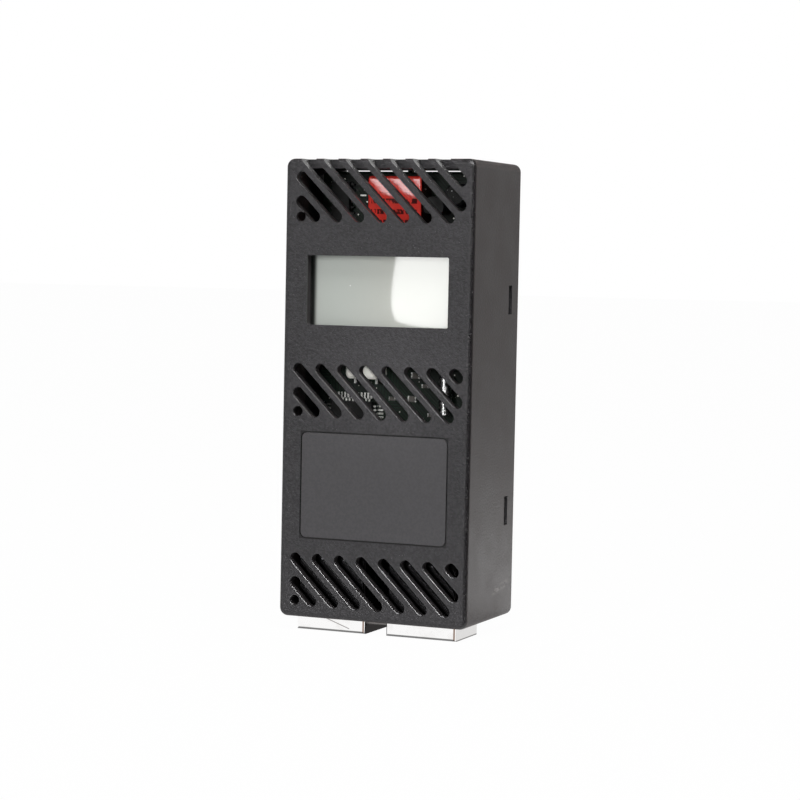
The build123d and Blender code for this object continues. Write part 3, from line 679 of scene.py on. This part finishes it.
def floor_paint():
    """White floor as bright as the backdrop, with a trace of the shadow kept.

    Gloss sees it near the part only, with a painted shadow right under the part.
    """
    finish = Finish("floor paint")
    camera = finish.node("ShaderNodeLightPath", {}, {}, "Is Camera Ray")
    glossy = finish.node("ShaderNodeLightPath", {}, {}, "Is Glossy Ray")
    x, y, z = finish.axes()
    ahead = (y + 14.0).ramp(-34.0, -20.0, 0.08, 1.0)
    beside = (x - y * 0.9).ramp(58.0, 52.0, 0.1, 1.0)
    # Painted shadow: right under the part the floor's glow is dimmed for gloss, so reflections show a dark
    # patch there.
    under = (abs(x) - 18.7).math("MAXIMUM", abs(y + 4.0) - 7.3).ramp(0.0, 0.5, 0.2, 1.0)
    rear = y.ramp(14.0, 45.0, 1.0, 2.7) * y.ramp(110.0, 260.0, 1.0, 0.2)
    strength = camera.math("MAXIMUM", glossy * ahead * beside * under * rear)
    matt = finish.node("ShaderNodeBsdfDiffuse", {}, {"Color": grey(0.86)})
    glow = finish.node("ShaderNodeEmission", {}, {"Color": grey(1.0), "Strength": strength})
    mixed = finish.node("ShaderNodeMixShader", {}, {0: (camera * 0.982 + glossy).clamped(), 1: matt, 2: glow})
    return finish.shown(mixed)


def lamp_paint(name, strength, mirrored_only=False):
    """Face of a soft lamp. One that is mirrored only lights nothing matt."""
    finish = Finish(name)
    if mirrored_only:
        strength = finish.node("ShaderNodeLightPath", {}, {}, "Is Glossy Ray") * strength
    return finish.shown(finish.node("ShaderNodeEmission", {}, {"Color": grey(1.0), "Strength": strength}))


def studio_world():
    """Even pale light, with a white backdrop for the camera and glass.

    Gloss sees it bright behind the part and dim in front.
    """
    world = bpy.data.worlds.new("studio")
    bpy.context.scene.world = world
    world.use_nodes = True
    tree = world.node_tree

    def linked(kind, sockets, output=0, **settings):
        node = tree.nodes.new(kind)
        for name, value in settings.items():
            setattr(node, name, value)
        for key, value in sockets.items():
            if isinstance(value, bpy.types.NodeSocket):
                tree.links.new(value, node.inputs[key])
            else:
                node.inputs[key].default_value = value
        return node.outputs[output]

    def chosen(factor, usual, other):
        return linked("ShaderNodeMapRange", {"Value": factor, "To Min": usual, "To Max": other})

    path = tree.nodes.new("ShaderNodeLightPath")
    direction = linked("ShaderNodeTexCoord", {}, "Generated")
    backwards = {0: direction, 1: (-0.1, 1.0, 0.0)}
    behind = linked("ShaderNodeVectorMath", backwards, "Value", operation="DOT_PRODUCT")
    limits = {"Value": behind, "From Min": -0.2, "From Max": 0.85, "To Min": 0.08, "To Max": 1.15}
    gloss = linked("ShaderNodeMapRange", limits)
    height = linked("ShaderNodeSeparateXYZ", {0: direction}, 2)
    fade = linked("ShaderNodeMapRange", {"Value": height, "From Max": 0.5, "To Min": 1.0, "To Max": 0.3})
    gloss = linked("ShaderNodeMath", {0: gloss, 1: fade}, operation="MULTIPLY")
    level = chosen(path.outputs["Is Glossy Ray"], world_level, gloss)
    looking = {0: path.outputs["Is Camera Ray"], 1: path.outputs["Is Transmission Ray"]}
    seen = linked("ShaderNodeMath", looking)
    level = chosen(seen, level, 1.0)
    background = tree.nodes["Background"]
    background.inputs["Color"].default_value = grey(1.0)
    tree.links.new(level, background.inputs["Strength"])


def aimed(name, data, place, target):
    """Puts a light at its place, facing a point."""
    light = bpy.data.objects.new(name, data)
    bpy.context.scene.collection.objects.link(light)
    light.location = place
    light.rotation_euler = (Vector(target) - Vector(place)).to_track_quat("-Z", "Y").to_euler()


def lamp(name, place, target, width, height, power):
    """Soft rectangular lamp aimed at a point."""
    data = bpy.data.lights.new(name, "AREA")
    data.shape = "RECTANGLE"
    data.size = width
    data.size_y = height
    data.energy = power
    aimed(name, data, place, target)


def narrow_lamp(name, place, target, degrees, power):
    """Small lamp with a narrow soft cone."""
    data = bpy.data.lights.new(name, "SPOT")
    data.energy = power
    data.spot_size = math.radians(degrees)
    data.spot_blend = 0.6
    data.shadow_soft_size = 0.01
    aimed(name, data, place, target)


def photo_camera():
    """Camera at the photograph's viewpoint."""
    place = Vector((0.2020, -0.4745, 0.0798))
    yaw, pitch, roll = math.radians(23.05), math.radians(-3.26), math.radians(1.14)
    ahead = Vector((-math.sin(yaw) * math.cos(pitch), math.cos(yaw) * math.cos(pitch), math.sin(pitch)))
    right = ahead.cross(Vector((0, 0, 1))).normalized()
    up = right.cross(ahead)
    right, up = right * math.cos(roll) + up * math.sin(roll), up * math.cos(roll) - right * math.sin(roll)
    data = bpy.data.cameras.new("camera")
    data.lens = 106.06
    data.sensor_width = 36.0
    data.sensor_fit = "HORIZONTAL"
    data.clip_start = 0.01
    camera = bpy.data.objects.new("camera", data)
    bpy.context.scene.collection.objects.link(camera)
    turn = Matrix((right, up, -ahead)).transposed().to_4x4()
    camera.matrix_world = Matrix.Translation(place) @ turn
    bpy.context.scene.camera = camera


floor_reach = 6.0
world_level = 0.25
floor_corners = [(x * floor_reach, y * floor_reach, 0) for x, y in ((-1, -1), (1, -1), (1, 1), (-1, 1))]
stage_sheet("floor", floor_corners, floor_paint())
lamp_corner = Vector((-0.352, -0.8375, 0.0))
lamp_along = Vector((0.9236, -0.3836, 0.0))
lamp_outline = [
    (60.0, 470.0), (14.0, 440.0), (4.0, 130.0), (0.9, 87.8),
    (0.0, 81.2), (-1.4, 71.8), (-2.0, 62.4), (-1.9, 54.8),
    (-0.7, 50.2), (1.9, 46.4), (8.5, 44.5), (17.8, 43.1),
    (33.9, 41.4), (120.0, 36.0), (380.0, 30.0), (380.0, 470.0),
]
lamp_corners = [
    lamp_corner + lamp_along * across * MM + Vector((0, 0, up * MM)) for across, up in lamp_outline
]
stage_sheet("lamp_face", lamp_corners, lamp_paint("soft lamp face", 9.0))
studio_world()
stage_sheet(
    "lamp_card",
    [(0.49, -0.133, 0.77), (0.314, -0.399, 0.77), (0.51, -0.529, 0.556), (0.686, -0.263, 0.556)],
    lamp_paint("lamp face", 24.0, mirrored_only=True),
)
lamp("top", (0.3, -0.42, 0.88), (0, 0, 0.05), 0.5, 0.4, 6.5)
lamp("near", (0.3, -0.75, 0.2), (0, 0, 0.06), 0.12, 0.12, 0.4)
narrow_lamp("slots", (0.225, -0.53, 0.11), (-0.003, 0, 0.054), 2.6, 5.2)
photo_camera()
bpy.context.scene.view_settings.view_transform = "Standard"
